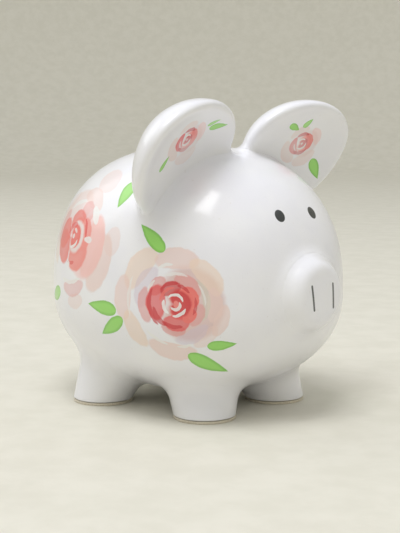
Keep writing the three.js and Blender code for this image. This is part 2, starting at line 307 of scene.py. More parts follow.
# %% Tail field
TAIL_RISE, TAIL_ROOT_LOOP, TAIL_TIP_LOOP = 23, 8.4, 5.0
TAIL_ROOT_RADIUS, TAIL_TIP_RADIUS = 3.3, 1.8
TAIL_SINK, TAIL_PITCH, TAIL_TURNS = 1.6, 7.4, 1.3
TAIL_STEPS = 150
TAIL_ROOT_RISE = TAIL_RISE - TAIL_ROOT_LOOP
RUMP_REACH = (1 - (TAIL_ROOT_RISE / BODY_RISE) ** TOP_FULLNESS) ** (1 / TOP_FULLNESS)
RUMP_X = CENTRE_X - BODY_BACK * RUMP_REACH


def tail_line(share):
    """A helix backwards out of the rump, whose loop closes in towards the tip."""
    turn = 2 * math.pi * TAIL_TURNS * share
    loop = TAIL_ROOT_LOOP + (TAIL_TIP_LOOP - TAIL_ROOT_LOOP) * share
    return np.stack([
        RUMP_X + TAIL_SINK - TAIL_PITCH * TAIL_TURNS * share,
        loop * np.sin(turn),
        CENTRE[2] + TAIL_RISE - loop * np.cos(turn),
    ], -1)


tail_share = np.linspace(0, 1, TAIL_STEPS)
tail_middle = tail_line(tail_share)
tail_radius = TAIL_ROOT_RADIUS + (TAIL_TIP_RADIUS - TAIL_ROOT_RADIUS) * tail_share


def tail_field(points):
    """The least of the distances to the middle line's points, each less the radius there."""
    flat = points.reshape(-1, 3)
    away = np.full(len(flat), 1000.0)
    close = np.all(np.abs(flat - tail_middle.mean(0)) < 30, axis=1)
    gaps = np.linalg.norm(flat[close, None] - tail_middle, axis=-1) - tail_radius
    away[close] = gaps.min(1)
    return away.reshape(points.shape[:-1])

# %% [markdown]
# ## Running the joints into each other
#
# A piece's bare surface comes first. Then each point near a joint steps along the slope of the two
# fields run together until it rests on their common surface. Past the line where the neighbour takes
# over, the skin tucks itself a little below, so the two skins never fight. A stuck-on piece also gets
# a back: whatever lies deep in the body is drawn up to just under its skin, inside the clay wall.

# %% Sliding a surface into its fillets
SNOUT_BLEND, EAR_BLEND, LEG_BLEND, TAIL_BLEND = 7.0, 6.0, 8.0, 3.0
TUCK = 0.1  # how far a skin dips below the one that takes over from it
BACKING_DEPTH = 2.2  # of a stuck-on piece's back, below the body's skin


def slope(field, points, step=0.05):
    """How a field grows along X, Y and Z, by differences across a small step."""
    rises = [field(points + step * axis) - field(points - step * axis) for axis in np.eye(3)]
    return np.stack(rises, -1) / (2 * step)


def halve(value, low, high, rounds=26):
    """Where value(t) passes from negative to positive between two arrays, by halving the span."""
    for _ in range(rounds):
        middle = (low + high) / 2
        inside = value(middle) < 0
        low, high = np.where(inside, middle, low), np.where(inside, high, middle)
    return (low + high) / 2


def flow(points, own, neighbour, reach, rounds=9):
    """The points moved to the surface of two shapes run together. Each round steps by the joint
    field's value against its slope, so points come to rest on the fillet. Those well inside the
    neighbour stay where they are."""
    def together(moved):
        return smooth_min(own(moved), neighbour(moved), reach)

    start = neighbour(points)
    near = (start < reach) & (start > -reach / 2)
    moved = points[near]
    for _ in range(rounds):
        steepest = slope(together, moved)
        step = np.clip(together(moved), -1.5, 1.5) / np.sum(steepest ** 2, -1)
        moved = moved - step[:, None] * steepest
    tuck = TUCK * smoothstep(0, 1.2, own(moved) - neighbour(moved))
    moved -= tuck[:, None] * unit(steepest)
    kept = smoothstep(-reach / 2, -reach / 8, start[near])[:, None]
    result = points.copy()
    result[near] += kept * (moved - points[near])
    return result


def back_off(points):
    """Points deep in the body drawn out along the line from its centre, to just under its skin."""
    depth = -body_field(points) - BACKING_DEPTH
    return points + unit(points - CENTRE) * np.maximum(depth, 0)[..., None]

# %% [markdown]
# ## Body shell
#
# The body is hollow, with a slot on its spine and a round hole in its belly, so its skin is one
# sheet: from the slot, down the outside, round the hole's edge, up the inside and out of the slot
# again. That is a ring-shaped surface, like a stretched doughnut. Every ring goes round the pig. The
# slot's ring is a thin oval, and directions from the centre turn evenly from there to the equator
# and on to the hole, so the rings open up without crossing.

# %% Rings of the body
AROUND = 312
SLOT_HALF_LENGTH, SLOT_HALF_WIDTH, SLOT_FORWARD = 19.0, 2.5, -14
SLOT_EDGE, HOLE_EDGE = 1.3, 1.0  # roundings that sponging and glaze leave
HOLE_RADIUS, LAND_RADIUS, LAND_HEIGHT = 15.0, 19.6, 9.0
turn = np.linspace(0, 2 * math.pi, AROUND, endpoint=False)


def slot_outline(offset):
    """X and Y of a bar with round ends, grown by an offset. X follows the cosine of the turn, which
    puts more points on the ends."""
    x = (SLOT_HALF_LENGTH + offset) * np.cos(turn)
    radius = SLOT_HALF_WIDTH + offset
    past_end = np.maximum(np.abs(x) - (SLOT_HALF_LENGTH - SLOT_HALF_WIDTH), 0)
    y = np.sqrt(np.maximum(radius ** 2 - past_end ** 2, 0)) * np.sign(np.sin(turn))
    y[np.abs(np.sin(turn)) < 1e-9] = 0
    return CENTRE_X + SLOT_FORWARD + x, y


def on_shell(x, y, upper, grow=0):
    """Points of the shell straight above or below X and Y, found by halving."""
    sign = 1 if upper else -1

    def value(t):
        return body_gauge(unflared(np.stack([x, y, CENTRE[2] + sign * t], -1)), grow) - 1

    height = halve(value, np.zeros_like(x), np.full_like(x, 100))
    return np.stack([x, y, CENTRE[2] + sign * height], -1)


def sweep(first, last, shares):
    """Directions turned evenly from those of one ring of points to those of another."""
    a, b = unit(first), unit(last)
    angle = np.arccos(np.clip(np.sum(a * b, -1), -1, 1))[None, :, None]
    t = shares[:, None, None]
    return (np.sin((1 - t) * angle) * a + np.sin(t * angle) * b) / np.sin(angle)


def slot_ring(offset, below, grow=0):
    ring = on_shell(*slot_outline(offset), True, grow)
    ring[:, 2] -= below
    return ring


def hole_ring(radius, height):
    x = HOLE_X + radius * np.cos(turn)
    return np.stack([x, radius * np.sin(turn), np.full_like(x, height)], -1)


quarter = np.radians(np.linspace(0, 90, 7))
slot_edge = [slot_ring(SLOT_EDGE * (1 - math.cos(a)), SLOT_EDGE * (1 - math.sin(a))) for a in quarter]
equator = np.stack([np.cos(turn), np.sin(turn), np.zeros(AROUND)], -1)
belly_ring = on_shell(*hole_ring(LAND_RADIUS + 0.5, 0).T[:2], False)
upper_shares = np.linspace(0, 1, 92)[1:-1] ** 1.35
lower_shares = np.linspace(0, 1, 66)[:-1]
upper = body_point(sweep(unflared(slot_edge[-1]), equator, upper_shares))
lower = body_point(sweep(equator, unflared(belly_ring), lower_shares))
print("outer rings:", len(slot_edge) + len(upper) + len(lower))

# %% Fillets on the outside
sides = {"right": -1, "left": 1}
applied = [(snout_field, SNOUT_BLEND), (tail_field, TAIL_BLEND)]
applied += [(ear_field(side), EAR_BLEND) for side in sides.values()]
applied += [(leg_field(end, side), LEG_BLEND) for end in FEET for side in sides.values()]
outside = np.concatenate([upper, lower])
for field, reach in applied:
    outside = flow(outside, body_field, field, reach)

# %% Hole, inside and the whole shell
hole_wall_top = CENTRE[2] - BODY_DROP + BODY_WALL
land_edge = [hole_ring(LAND_RADIUS + 0.1, LAND_HEIGHT), hole_ring(LAND_RADIUS - 0.4, LAND_HEIGHT)]
land_edge += [hole_ring(radius, LAND_HEIGHT) for radius in (18.2, 17, HOLE_RADIUS + HOLE_EDGE + 0.3)]
hole_edge = [
    hole_ring(HOLE_RADIUS + HOLE_EDGE * (1 - math.sin(a)),
              LAND_HEIGHT + HOLE_EDGE * (1 - math.cos(a)))
    for a in quarter
]
inner_rim = on_shell(*hole_ring(HOLE_RADIUS + HOLE_EDGE, 0).T[:2], False, -BODY_WALL)
hole_top = [hole_ring(HOLE_RADIUS, hole_wall_top - 0.6), hole_ring(HOLE_RADIUS + 0.3, hole_wall_top)]
inner_shares = np.linspace(0, 1, 30)
inner_lower = body_point(sweep(unflared(inner_rim), equator, inner_shares[:-1]), -BODY_WALL)
slot_inner = slot_ring(1.0, 0, -BODY_WALL)
inner_upper = body_point(sweep(equator, unflared(slot_inner), inner_shares), -BODY_WALL)
slot_wall = [slot_ring(0.3, -0.3, -BODY_WALL)]
for share in (0.2, 0.45, 0.7):
    low, high = slot_ring(0, 0, -BODY_WALL), slot_edge[0]
    slot_wall.append(low + (high - low) * share)

groups = [slot_edge, outside, land_edge, hole_edge, hole_top, inner_lower, inner_upper, slot_wall]
body = surface("body_glazed", np.concatenate([np.array(group) for group in groups]), joined=True)
place(body, "pig", "white_glaze", "body_shell")

# %% [markdown]
# ## Snout
#
# Rays fan out from a point inside the snout: over the domed face, round the shoulder and back down
# the cone. Each ends where it leaves the snout's field, and a ring of such ends is one ring of the
# mesh. The rays crowd together where the shoulder turns.

# %% Snout rings
def unit_circle(around):
    spin = np.linspace(0, 2 * math.pi, around, endpoint=False)
    return np.stack([np.cos(spin), np.sin(spin)], -1)


def polar_rings(middle, axes, shares, around, field, furthest):
    """Rings about the third axis: rays from a middle point inside, at angles of pi times each share
    from that axis, each cut where it leaves the field."""
    tilt = math.pi * shares[:, None, None]
    flat = np.sin(tilt) * unit_circle(around)
    ahead = np.broadcast_to(np.cos(tilt), (len(shares), around, 1))
    rays = np.concatenate([flat, ahead], -1) @ axes
    reached = halve(lambda t: field(middle + t[..., None] * rays),
                    np.zeros(rays.shape[:2]), np.full(rays.shape[:2], furthest))
    return middle + reached[..., None] * rays


def crowded(count, centre, width, gain):
    """Shares from 0 to 1, closer together around a centre: equal steps of a heaped density."""
    fine = np.linspace(0, 1, 2000)
    heap = np.cumsum(1 + gain * np.exp(-((fine - centre) / width) ** 2))
    return np.interp(np.linspace(heap[0], heap[-1], count + 2)[1:-1], heap, fine)


SNOUT_AXES = np.array([[0, 1, 0], [0, 0, 1], [1, 0, 0]])
snout_middle = np.array([SNOUT_END - 22, 0, SNOUT_HEIGHT])
snout_back = snout_middle - [6, 0, 0]


def ended_snout(points):
    """The snout with a flat back close behind its middle."""
    return np.maximum(snout_field(points), snout_back[0] - points[..., 0])


rings = polar_rings(snout_middle, SNOUT_AXES, crowded(96, 0.3, 0.12, 2.5), 192, ended_snout, 90.0)
rings = back_off(flow(rings, snout_field, body_field, SNOUT_BLEND))
snout_tip = np.array([SNOUT_END, 0, SNOUT_HEIGHT])
snout = surface("snout_glazed", rings, snout_tip, back_off(snout_back))
place(snout, "pig", "white_glaze", "snout")

# %% [markdown]
# ## Ears
#
# Rays fan out from a point behind the cup, over its face, round the rim and down the dome. The rim
# turns sharply, so the rays crowd together there.

# %% Ear rings
EAR_RAY_DEPTH = 12.0  # of the rays' common point, behind the flat side
EAR_REACH = 70.0  # further than any ray has to go


def make_ear(side_name, side):
    middle, axes = ear_frame(side)
    field = ear_field(side)
    inner = middle - EAR_RAY_DEPTH * axes[2]
    rings = polar_rings(inner, axes, crowded(132, 0.38, 0.07, 5), 192, field, EAR_REACH)
    rings = flow(rings, field, body_field, EAR_BLEND)
    ends = []
    for direction in (axes[2], -axes[2]):
        far = np.full(1, EAR_REACH)
        reached = halve(lambda t: field(inner + t[:, None] * direction), 0 * far, far)
        ends.append(back_off(inner + reached * direction))
    piece = surface(f"ear_{side_name}_glazed", back_off(rings), *ends)
    place(piece, "pig", "white_glaze", f"ear_{side_name}")
    return piece


ears = {side_name: make_ear(side_name, side) for side_name, side in sides.items()}

# %% [markdown]
# ## Legs
#
# A leg's rings climb its leaning line from the sole. The belly is slanted there, so each column
# ends at its own height, where it lies just under the body's skin. Rings that shrink to a point
# close the top, and they follow that skin.

# %% Leg rings
def make_leg(end, side_name, side, around=160):
    foot, run = leg_line(end, side)
    field = leg_field(end, side)

    def at(rise, radius):
        """The point of each column at its rise above the sole, at a radius from the middle line."""
        flat = foot + rise[..., None] * run + radius[..., None] * unit_circle(around)
        return np.concatenate([flat, rise[..., None] + SOLE_HEIGHT], -1)

    def side_at(rise):
        return at(rise, LEG_FOOT_RADIUS + LEG_TAPER * rise)

    top = halve(lambda rise: -body_field(side_at(rise)) - BACKING_DEPTH - 2,
                np.zeros(around), np.full(around, 45.0))
    climb = np.concatenate([[0.012, 0.03, 0.055, 0.085], np.linspace(0.12, 1, 60)])
    walls = side_at(climb[:, None] * top)
    level = np.zeros(around)
    foot_rings = [at(level, level + radius) for radius in (6, 11, 15, 16.2)]
    foot_rings.append(at(level + LEG_EDGE / 20, level + LEG_FOOT_RADIUS - LEG_EDGE / 3))
    rings = np.concatenate([np.array(foot_rings), walls])
    rings = flow(rings, field, body_field, LEG_BLEND)
    rings[:4, :, 2] = SOLE_HEIGHT
    rings = back_off(rings)
    rim = rings[-1]
    hub = rim.mean(0)
    cap = hub + (rim - hub) * np.linspace(0.9, 0.1, 9)[:, None, None]
    below_skin = [0, 0, BACKING_DEPTH + 0.4]
    cap = on_shell(cap[..., 0], cap[..., 1], False) + below_skin
    cap_hub = on_shell(hub[:1], hub[1:2], False)[0] + below_skin
    name = f"leg_{end}_{side_name}"
    sole = np.array([*foot, SOLE_HEIGHT])
    piece = surface(f"{name}_glazed", np.concatenate([rings, cap]), sole, cap_hub)
    place(piece, "pig", "white_glaze", name)
    return piece


legs = [make_leg(end, side_name, side) for end in FEET for side_name, side in sides.items()]

# %% [markdown]
# ## Tail
#
# A roll of clay, thin at the tip: a circle carried along the curl's middle line. At each step the
# circle stands square to the line. The tip closes in a half ball.

# %% Tail rings
def make_tail(around=40):
    ahead = unit(np.gradient(tail_middle, axis=0))
    side_on = unit(np.cross(ahead, [1, 0, 0]))
    third = np.cross(ahead, side_on)
    ring = unit_circle(around) @ np.stack([side_on, third], 1)
    tube = tail_middle[:, None] + tail_radius[:, None, None] * ring
    tube[:70] = flow(tube[:70], tail_field, body_field, TAIL_BLEND)
    bend = np.radians(np.linspace(8, 82, 10))[:, None, None]
    tip = tail_middle[-1] + TAIL_TIP_RADIUS * (np.sin(bend) * ahead[-1] + np.cos(bend) * ring[-1])
    end = tail_middle[-1] + TAIL_TIP_RADIUS * ahead[-1]
    piece = surface("tail_glazed", np.concatenate([tube, tip]), tail_middle[0], end)
    place(piece, "pig", "white_glaze", "tail")
    return piece


tail = make_tail()

# %% [markdown]
# ## Foot pads and stopper
#
# A felt disc is punched from a sheet, so its edge is soft and its face slightly crowned. The stopper
# is moulded rubber: a thin flange that lies against the belly, a tapered plug with a lip that
# snaps behind the wall, and a finger dish with a bar across it. Both are a profile turned round an
# upright line; the dish and bar come from a height that depends on X and Y.

# %% Turned pieces
def turned(profile, middle, around):
    """Rings from a profile, an array of (radius, height), about an upright line."""
    radius, height = np.array(profile).T
    flat = radius[:, None, None] * unit_circle(around)
    level = np.broadcast_to(height[:, None, None], (*flat.shape[:2], 1))
    return np.concatenate([flat + middle, level], -1)


def bowed(start, end, bulge, count):
    """Points from start to end that bow to the left by a bulge, as a parabola."""
    t = np.linspace(0, 1, count)[:, None]
    start, end = np.array(start, float), np.array(end, float)
    left = np.array([start[1] - end[1], end[0] - start[0]])
    return start + (end - start) * t + unit(left) * 4 * bulge * t * (1 - t)


PAD_THICKNESS, PAD_RADIUS = 1.5, 17.1
PAD_SOFT = 0.45  # rounding of a pad's edges


def make_pad(end, side_name, side):
    foot, _ = leg_line(end, side)
    low, high = PAD_SOFT, PAD_THICKNESS - PAD_SOFT
    flat = PAD_RADIUS - PAD_SOFT
    radii = np.linspace(0.5, flat, 22)[:-1]
    corner = np.radians(np.linspace(-90, 0, 6))
    under = [(radius, 0) for radius in radii]
    rise = [(flat + PAD_SOFT * math.cos(a), low + PAD_SOFT * math.sin(a)) for a in corner]
    turn_in = [(flat + PAD_SOFT * math.cos(a), high - PAD_SOFT * math.sin(a)) for a in corner[::-1]]
    over = [(radius, PAD_THICKNESS) for radius in radii[::-1]]
    rings = turned(under + rise + turn_in + over, foot, 128)
    name = f"foot_pad_{end}_{side_name}"
    piece = surface(f"{name}_felt", rings, np.array([*foot, 0]), np.array([*foot, PAD_THICKNESS]))
    place(piece, "pig", "foot_pad", name)
    return piece


pads = [make_pad(end, side_name, side) for end in FEET for side_name, side in sides.items()]

# %% Stopper
FLANGE_RADIUS, FLANGE_LOW, FLANGE_TOP = LAND_RADIUS - 0.35, 7.1, 8.7
PLUG_RADIUS, PLUG_TOP, PLUG_TAPER = HOLE_RADIUS - 0.35, 13.9, 0.8
DISH_RADIUS, DISH_DEPTH, GRIP_HALF_WIDTH = PLUG_RADIUS - 3.6, 2.6, 1.6


def make_stopper(around=200):
    under = [(radius, FLANGE_LOW) for radius in np.linspace(0.3, FLANGE_RADIUS - 0.6, 58)]
    rim = [(FLANGE_RADIUS - 0.6 + 0.6 * math.sin(a), FLANGE_LOW + 0.6 - 0.6 * math.cos(a))
           for a in np.radians(np.linspace(15, 90, 6))]
    lap = [(FLANGE_RADIUS, 8.2), (FLANGE_RADIUS - 0.1, 8.5), (FLANGE_RADIUS - 0.4, FLANGE_TOP)]
    seat = [(radius, FLANGE_TOP) for radius in (18, 17, 16, PLUG_RADIUS + 0.35)]
    seat += [(PLUG_RADIUS + 0.1, FLANGE_TOP + 0.1), (PLUG_RADIUS, FLANGE_TOP + 0.4)]
    shank = bowed((PLUG_RADIUS, 9.4), (PLUG_RADIUS - 0.1, 12.2), 0.25, 8).tolist()
    nose = PLUG_RADIUS - PLUG_TAPER
    lip = [(nose - 0.9 + 0.9 * math.cos(a), PLUG_TOP - 0.9 + 0.9 * math.sin(a))
           for a in np.radians(np.linspace(10, 90, 7))]
    crown = [(radius, PLUG_TOP) for radius in np.linspace(nose - 1.6, 0.4, 12)]
    rings = turned(under + rim + lap + seat + shank + lip + crown, [HOLE_X, 0], around)
    face = rings[:len(under)]
    across = face[..., 0] - HOLE_X
    radius = np.hypot(across, face[..., 1])
    dish = 1 - smoothstep(DISH_RADIUS - 2.4, DISH_RADIUS, radius)
    beside_bar = smoothstep(GRIP_HALF_WIDTH - 0.3, GRIP_HALF_WIDTH + 1.5, np.abs(across))
    face[..., 2] += DISH_DEPTH * dish * beside_bar
    lowest = np.array([HOLE_X, 0, FLANGE_LOW])
    piece = surface("stopper_rubber", rings, lowest, np.array([HOLE_X, 0, PLUG_TOP]))
    place(piece, "stopper", "stopper_rubber", "stopper")
    return piece


stopper = make_stopper()

# %% [markdown]
# ## Materials as sums
#
# A material is a small computation on each point of the surface. Written as nodes it is hard to
# read, so one class wraps a socket and lets Python's own arithmetic add the nodes.

# %% Sockets that add and multiply
class Term:
    """A value, vector or colour socket that takes part in Python arithmetic."""

    def __init__(self, tree, socket):
        self.tree = tree
        self.socket = socket

    def node(self, kind, settings, sockets, output=0):
        """A new node of a kind: its settings are set first, then its sockets' values or links."""
        made = self.tree.nodes.new(kind)
        for name, value in settings.items():
            setattr(made, name, value)
        for key, value in sockets.items():
            if isinstance(value, Term):
                self.tree.links.new(value.socket, made.inputs[key])
            else:
                made.inputs[key].default_value = value
        return Term(self.tree, made.outputs[output])

    def maths(self, operation, *values):
        return self.node("ShaderNodeMath", {"operation": operation}, dict(enumerate(values)))

    def __add__(self, other):
        return self.maths("ADD", self, other)

    def __sub__(self, other):
        return self.maths("SUBTRACT", self, other)

    def __rsub__(self, other):
        return self.maths("SUBTRACT", other, self)

    def __mul__(self, other):
        return self.maths("MULTIPLY", self, other)

    def __truediv__(self, other):
        return self.maths("DIVIDE", self, other)

    __radd__ = __add__
    __rmul__ = __mul__

    def abs(self):
        return self.maths("ABSOLUTE", self)

    def root(self):
        return self.maths("SQRT", self)

    def most(self, other):
        """The larger of this and another value."""
        return self.maths("MAXIMUM", self, other)

    def ramp(self, low, high, start=0.0, end=1.0):
        """start below low, end above high, eased between."""
        settings = {"interpolation_type": "SMOOTHSTEP"}
        sockets = {"Value": self, "From Min": low, "From Max": high, "To Min": start, "To Max": end}
        return self.node("ShaderNodeMapRange", settings, sockets)

    def dot(self, vector):
        """How far a vector reaches along a fixed direction."""
        settings = {"operation": "DOT_PRODUCT"}
        return self.node("ShaderNodeVectorMath", settings, {0: self, 1: tuple(vector)}, "Value")

    def moved(self, scale, offset=(0, 0, 0)):
        """A vector scaled by one vector, then shifted by another."""
        settings = {"operation": "MULTIPLY_ADD"}
        sockets = {0: self, 1: tuple(scale), 2: tuple(offset)}
        return self.node("ShaderNodeVectorMath", settings, sockets)

    def noise(self, scale, detail=2.0, roughness=0.5, output="Fac"):
        """Smooth noise of a number of lumps for each unit of the vector."""
        sockets = {"Vector": self, "Scale": scale, "Detail": detail, "Roughness": roughness}
        return self.node("ShaderNodeTexNoise", {}, sockets, output)

    def mix(self, other, share):
        """This colour with another laid over it by a share."""
        settings = {"data_type": "RGBA", "clamp_factor": True}
        return self.node("ShaderNodeMix", settings, {0: share, 6: self, 7: other}, 2)

    def between(self, first, second):
        """A colour that goes from one to another as this value goes from 0 to 1."""
        return self.node("ShaderNodeMix", {"data_type": "RGBA"}, {0: self, 6: first, 7: second}, 2)

    def bump(self, strength, distance):
        """The surface's direction with this height laid on it, in metres at the distance's scale."""
        sockets = {"Strength": strength, "Distance": distance, "Height": self}
        return self.node("ShaderNodeBump", {}, sockets)


def pigment(red, green, blue, lift=1.0):
    """A colour given as it shows, 0 to 255, as the light that the surface sends back."""
    shown = np.array([red, green, blue]) / 255
    linear = np.where(shown <= 0.04045, shown / 12.92, ((shown + 0.055) / 1.055) ** 2.4)
    return (*np.minimum(linear * lift, 0.95).tolist(), 1.0)


def new_material(name, **constants):
    """A material with its Principled shader's fixed sockets set, and the place in millimetres."""
    material = bpy.data.materials.new(name)
    material.use_nodes = True
    tree = material.node_tree
    shader = tree.nodes["Principled BSDF"]
    for key, value in constants.items():
        shader.inputs[key.replace("_", " ")].default_value = value
    coordinates = tree.nodes.new("ShaderNodeTexCoord")
    place_mm = Term(tree, coordinates.outputs["Object"]).moved((1000, 1000, 1000))
    return material, shader, place_mm


def connect(shader, **terms):
    for key, term in terms.items():
        term.tree.links.new(term.socket, shader.inputs[key.replace("_", " ")])

# %% [markdown]
# ## White glaze
#
# Glaze is glass melted over white clay. It is never quite flat: broad waves bend the reflections,
# pinholes and specks dot it, and it runs thin and warmer on edges. The clear glass is a coat over a
# softer white.

# %% Glaze
def glaze_base(name):
    """The white with its waves, specks and tiny pits."""
    material, shader, place_mm = new_material(
        name, IOR=1.5, Coat_Weight=0.8, Coat_Roughness=0.15, Coat_IOR=1.5, Specular_IOR_Level=0.3,
    )
    cloud = place_mm.noise(0.035, 3).ramp(0.3, 0.7)
    speck = place_mm.noise(0.55, 1).ramp(0.735, 0.775)
    white = cloud.between(pigment(245, 245, 252), pigment(241, 241, 248))
    white = white.mix(pigment(214, 206, 196), speck * 0.2)
    waves = place_mm.noise(0.045, 1) * 0.35 + place_mm.noise(0.16, 2) * 0.05
    pits = place_mm.noise(0.9, 0).ramp(0.72, 0.8) * 0.02
    roughness = place_mm.noise(0.09, 2).ramp(0.3, 0.7, 0.32, 0.4)
    connect(shader, Normal=(waves - pits).bump(1.0, 0.001), Roughness=roughness)
    return material, shader, place_mm, white

# %% [markdown]
# ## Painting in strokes
#
# The painter works with a loaded brush in short curved strokes. A stroke round a flower's middle is
# simple in polar form: it has a direction, a spread, a radius and a thickness, and its edge is where
# the two misfits, squared and added, pass 1. Strokes are laid over each other from the outside in,
# as on the real flower. A little noise shifts the coordinates first, so no edge is a true curve.

# %% Paints
LIFT = 1.28  # what shows on the shaded flank is this much darker than the paint
paints = {name: pigment(*shown, LIFT) for name, shown in {
    "white": (217, 217, 217), "mist": (203, 178, 176), "blush": (215, 190, 184),
    "peach": (218, 196, 180), "lilac": (196, 182, 198), "sage": (186, 192, 172),
    "pink": (206, 146, 144), "coral": (216, 108, 102), "rosy": (221, 138, 132),
    "red": (208, 72, 74), "deep": (188, 52, 58), "light": (224, 180, 176), "ink": (44, 47, 49),
    "leaf": (142, 200, 100), "leaf_dark": (122, 182, 84), "leaf_pale": (156, 206, 124),
}.items()}
print(len(paints), "paints")

# %% Strokes and leaves
def on_body(spot):
    """A painted spot, and three directions there: level, up the skin, and straight out of it."""
    centre = np.array(spot) + [CENTRE_X, 0, 0]
    out = unit(slope(body_field, centre))
    level = unit(np.cross([0, 0, 1], out))
    return centre, (level, np.cross(out, level), out)


def flat_position(place_mm, centre, directions, wobble):
    """Distances along two flat directions from a centre, shifted by noise, and the depth below."""
    along, up, out = directions
    across = place_mm.dot(along) - float(np.dot(centre, along))
    upward = place_mm.dot(up) - float(np.dot(centre, up))
    depth = (place_mm.dot(out) - float(np.dot(centre, out))).abs()
    if wobble:
        shift_a = place_mm.noise(0.22, 3, 0.6) - 0.5
        shift_b = place_mm.moved((1, 1, 1), (40, 70, 20)).noise(0.22, 3, 0.6) - 0.5
        across, upward = across + shift_a * wobble, upward + shift_b * wobble
    return across, upward, depth


POOLING = 0.1  # how much less pigment stays in the middle of a stroke than at its edge


def strokes(colour, across, upward, listed, soft=0.16):
    """Lays strokes over a colour. Each is (direction, spread, radius, half thickness, paint,
    strength), with its angles in degrees."""
    radius = (across * across + upward * upward).root()
    unit_x, unit_y = across / (radius + 0.01), upward / (radius + 0.01)
    for direction, spread, ring, half, paint, strength in listed:
        angle = math.radians(direction)
        aligned = unit_x * math.cos(angle) + unit_y * math.sin(angle)
        turned_away = (1 - aligned) * (1 / (1 - math.cos(math.radians(spread))))
        off_ring = (radius - ring) * (1 / half)
        misfit = turned_away + off_ring * off_ring
        pooled = misfit.ramp(0.0, 1.0, 1 - POOLING, 1.0)
        share = misfit.ramp(1 - soft, 1 + soft, strength, 0.0) * pooled
        colour = colour.mix(paints[paint], share)
    return colour


def leaf(colour, place_mm, centre, directions, lean, length, width, paint="leaf", deepest=16):
    """A leaf with a round base and a pointed tip: across its axis it spreads as
    (1 - u) times the root of (1 + u), where u runs from -1 at the base to 1 at the tip."""
    across, upward, depth = flat_position(place_mm, centre, directions, 0.8)
    angle = math.radians(lean)
    u = (across * math.cos(angle) + upward * math.sin(angle)) * (2 / length)
    v = (upward * math.cos(angle) - across * math.sin(angle)).abs() * (2 / width)
    inside = (1 - u) * (u + 1).most(0.0).root() * 0.92 - v
    mask = inside.ramp(0.0, 0.12) * depth.ramp(deepest - 1, deepest, 1, 0) * u.ramp(-1.02, -0.98)
    green = inside.ramp(0.1, 0.55).between(paints["leaf_dark"], paints[paint])
    return colour.mix(green, mask)

# %% [markdown]
# ## Roses on the flanks
#
# One rose sits low on the shoulder, the other high on the rump, with leaves scattered round them.
# The painter does both flanks alike, so the paint reads the distance from the spine and not the side.

# %% The two roses
SHOULDER_ROSE = [
    (0, 180, 0, 25, "mist", 0.95), (140, 28, 28, 6.5, "peach", 0.7),
    (90, 30, 23.5, 5.5, "blush", 0.75), (42, 30, 22.5, 5, "peach", 0.7),
    (0, 26, 20.5, 3.6, "blush", 0.7), (-20, 20, 25, 3.4, "blush", 0.7),
    (178, 22, 32, 5.5, "blush", 0.7), (-148, 22, 29, 5, "peach", 0.7),
    (-98, 30, 26, 5, "blush", 0.75), (-48, 20, 23.5, 3.5, "blush", 0.5),
    (155, 35, 20, 5, "lilac", 0.5), (-62, 30, 19, 3.5, "lilac", 0.45),
    (10, 40, 16.5, 2, "sage", 0.4), (-175, 30, 18, 4, "pink", 0.7),
    (55, 38, 12.5, 4, "pink", 0.8), (-25, 28, 13, 3.5, "pink", 0.7),
    (-95, 28, 14, 3, "pink", 0.75), (138, 25, 13.5, 4, "pink", 0.75),
    (107, 12, 20.5, 0.8, "white", 0.9), (90, 24, 15.6, 0.8, "white", 0.7),
    (148, 14, 16.5, 0.9, "white", 0.8), (-121, 18, 22.3, 0.9, "white", 0.9),
    (175, 22, 28, 0.8, "white", 0.6), (20, 22, 15.8, 0.6, "white", 0.6),
    (-80, 10, 22.8, 0.9, "white", 0.8), (0, 180, 0, 10.5, "coral", 1),
    (178, 48, 11, 5.8, "red", 0.85), (108, 40, 8.5, 3.8, "deep", 0.8), (25, 38, 9, 4, "coral", 1),
    (-85, 42, 10, 4.5, "red", 0.8), (-38, 25, 9.5, 3.5, "coral", 1),
    (190, 40, 14.8, 1.2, "deep", 0.8), (-140, 30, 12.5, 1.5, "deep", 0.8),
    (110, 30, 10.8, 1, "deep", 0.8), (60, 22, 9.8, 0.9, "deep", 0.8),
    (-5, 25, 11, 0.7, "deep", 0.7), (-100, 28, 12, 1.2, "deep", 0.8),
    (0, 180, 0, 8.7, "deep", 0.9), (130, 40, 8.4, 0.8, "coral", 0.9),
    (0, 180, 0, 2.5, "rosy", 0.8), (-162, 38, 6.4, 0.9, "white", 0.95),
    (79, 62, 4.7, 0.75, "white", 0.95), (-60, 85, 2.9, 0.95, "white", 0.9),
    (-62, 40, 6.2, 0.85, "white", 0.95),
]
